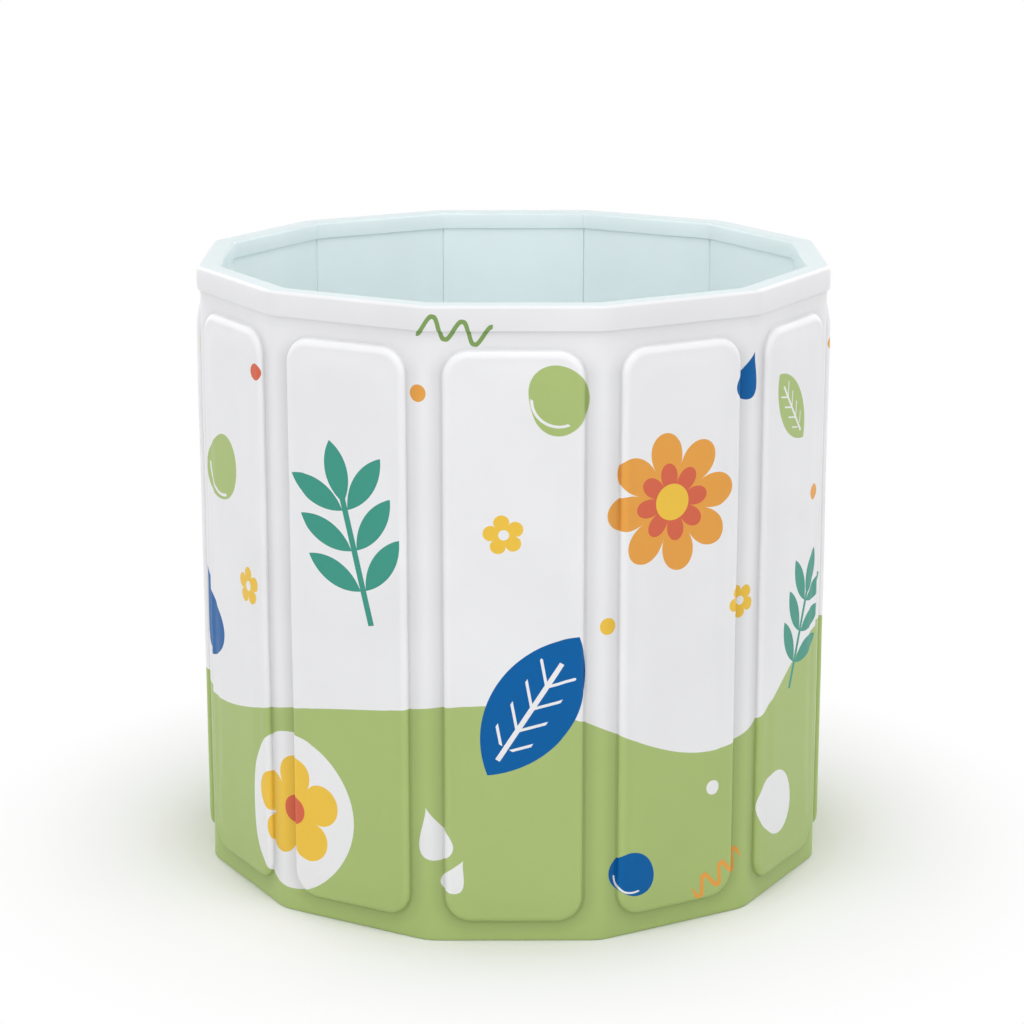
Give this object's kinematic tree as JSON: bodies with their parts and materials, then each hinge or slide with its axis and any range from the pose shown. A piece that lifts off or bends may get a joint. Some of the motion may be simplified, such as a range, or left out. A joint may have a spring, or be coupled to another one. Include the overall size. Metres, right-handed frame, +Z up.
{
  "type": "foldable bathtub",
  "caption": "Tall round bathtub of padded wall panels hinged along upright seams, with a soft floor, a rim band and a drain; it folds flat like a concertina.",
  "frame": {"origin": "middle of the base, on the ground, on the upright axis of the ring of panels", "axes": "+Z up, panel 01 faces -Y, the drain panel faces +Y, panels numbered anticlockwise from above"},
  "size_m": [0.6998, 0.7192, 0.68],
  "materials": {
    "printed_cover": "satin vinyl skin over pressed foam, white with a green foot and a scattered print",
    "rim_band": "satin white vinyl",
    "liner": "satin vinyl, very pale blue",
    "foam": "closed-cell foam",
    "ground_sheet": "coated cloth",
    "drain_plastic": "moulded white plastic",
    "gasket_rubber": "matt grey rubber",
    "plug_rubber": "matt blue rubber"
  },
  "bodies": {
    "wall_01": {"cover_01": "printed_cover", "foam_board_01": "foam", "liner_01": "liner", "rim_01": "rim_band", "base_sheet": "ground_sheet", "floor_foam": "foam", "floor_liner": "liner"},
    "wall_02": {"cover_02": "printed_cover", "foam_board_02": "foam", "liner_02": "liner", "rim_02": "rim_band"},
    "wall_03": {"cover_03": "printed_cover", "foam_board_03": "foam", "liner_03": "liner", "rim_03": "rim_band"},
    "wall_04": {"cover_04": "printed_cover", "foam_board_04": "foam", "liner_04": "liner", "rim_04": "rim_band"},
    "wall_05": {"cover_05": "printed_cover", "foam_board_05": "foam", "liner_05": "liner", "rim_05": "rim_band"},
    "wall_06": {"cover_06": "printed_cover", "foam_board_06": "foam", "liner_06": "liner", "rim_06": "rim_band"},
    "wall_07": {"cover_07": "printed_cover", "foam_board_07": "foam", "liner_07": "liner", "rim_07": "rim_band", "drain_fitting": "drain_plastic", "drain_gasket": "gasket_rubber", "drain_washer": "gasket_rubber", "drain_lock_nut": "drain_plastic", "drain_strainer": "drain_plastic"},
    "wall_08": {"cover_08": "printed_cover", "foam_board_08": "foam", "liner_08": "liner", "rim_08": "rim_band"},
    "wall_09": {"cover_09": "printed_cover", "foam_board_09": "foam", "liner_09": "liner", "rim_09": "rim_band"},
    "wall_10": {"cover_10": "printed_cover", "foam_board_10": "foam", "liner_10": "liner", "rim_10": "rim_band"},
    "wall_11": {"cover_11": "printed_cover", "foam_board_11": "foam", "liner_11": "liner", "rim_11": "rim_band"},
    "wall_12": {"cover_12": "printed_cover", "foam_board_12": "foam", "liner_12": "liner", "rim_12": "rim_band"},
    "plug": {"drain_plug": "plug_rubber"}
  },
  "joints": [
    {"name": "fold", "type": "hinge", "parent": "wall_01", "child": "wall_02", "pos_m": [0.09197, -0.31619, 0], "axis": [0, 0, 1], "range_deg": [0, 148], "deforming": ["base_sheet", "floor_foam", "floor_liner"]},
    {"name": "seam_02_03", "type": "hinge", "parent": "wall_02", "child": "wall_03", "pos_m": [0.25695, -0.25695, 0], "axis": [0, 0, 1], "range_deg": [-207.2, 0]},
    {"name": "seam_03_04", "type": "hinge", "parent": "wall_03", "child": "wall_04", "pos_m": [0.318, -0.08521, 0], "axis": [0, 0, 1], "range_deg": [0, 148]},
    {"name": "seam_04_05", "type": "hinge", "parent": "wall_04", "child": "wall_05", "pos_m": [0.351, 0.09405, 0], "axis": [0, 0, 1], "range_deg": [-207.2, 0]},
    {"name": "seam_05_06", "type": "hinge", "parent": "wall_05", "child": "wall_06", "pos_m": [0.23774, 0.22784, 0], "axis": [0, 0, 1], "range_deg": [0, 148]},
    {"name": "seam_12_01", "type": "hinge", "parent": "wall_01", "child": "wall_12", "pos_m": [-0.09258, -0.3455, 0], "axis": [0, 0, 1], "range_deg": [0, 29.6]},
    {"name": "seam_11_12", "type": "hinge", "parent": "wall_12", "child": "wall_11", "pos_m": [-0.23774, -0.22784, 0], "axis": [0, 0, 1], "range_deg": [-148, 0]},
    {"name": "seam_10_11", "type": "hinge", "parent": "wall_11", "child": "wall_10", "pos_m": [-0.351, -0.09405, 0], "axis": [0, 0, 1], "range_deg": [0, 207.2]},
    {"name": "seam_09_10", "type": "hinge", "parent": "wall_10", "child": "wall_09", "pos_m": [-0.318, 0.08521, 0], "axis": [0, 0, 1], "range_deg": [-148, 0]},
    {"name": "seam_08_09", "type": "hinge", "parent": "wall_09", "child": "wall_08", "pos_m": [-0.25695, 0.25695, 0], "axis": [0, 0, 1], "range_deg": [0, 207.2]},
    {"name": "seam_07_08", "type": "hinge", "parent": "wall_08", "child": "wall_07", "pos_m": [-0.09197, 0.31619, 0], "axis": [0, 0, 1], "range_deg": [-148, 0]},
    {"name": "plug_pull", "type": "slide", "parent": "wall_07", "child": "plug", "axis": [0, 1, 0], "range_m": [0, 0.02]}
  ],
  "couplings": [
    {"joint": "seam_02_03", "follows": "fold", "ratio": -1.4},
    {"joint": "seam_03_04", "follows": "fold", "ratio": 1},
    {"joint": "seam_04_05", "follows": "fold", "ratio": -1.4},
    {"joint": "seam_05_06", "follows": "fold", "ratio": 1},
    {"joint": "seam_12_01", "follows": "fold", "ratio": 0.2},
    {"joint": "seam_11_12", "follows": "fold", "ratio": -1},
    {"joint": "seam_10_11", "follows": "fold", "ratio": 1.4},
    {"joint": "seam_09_10", "follows": "fold", "ratio": -1},
    {"joint": "seam_08_09", "follows": "fold", "ratio": 1.4},
    {"joint": "seam_07_08", "follows": "fold", "ratio": -1}
  ]
}
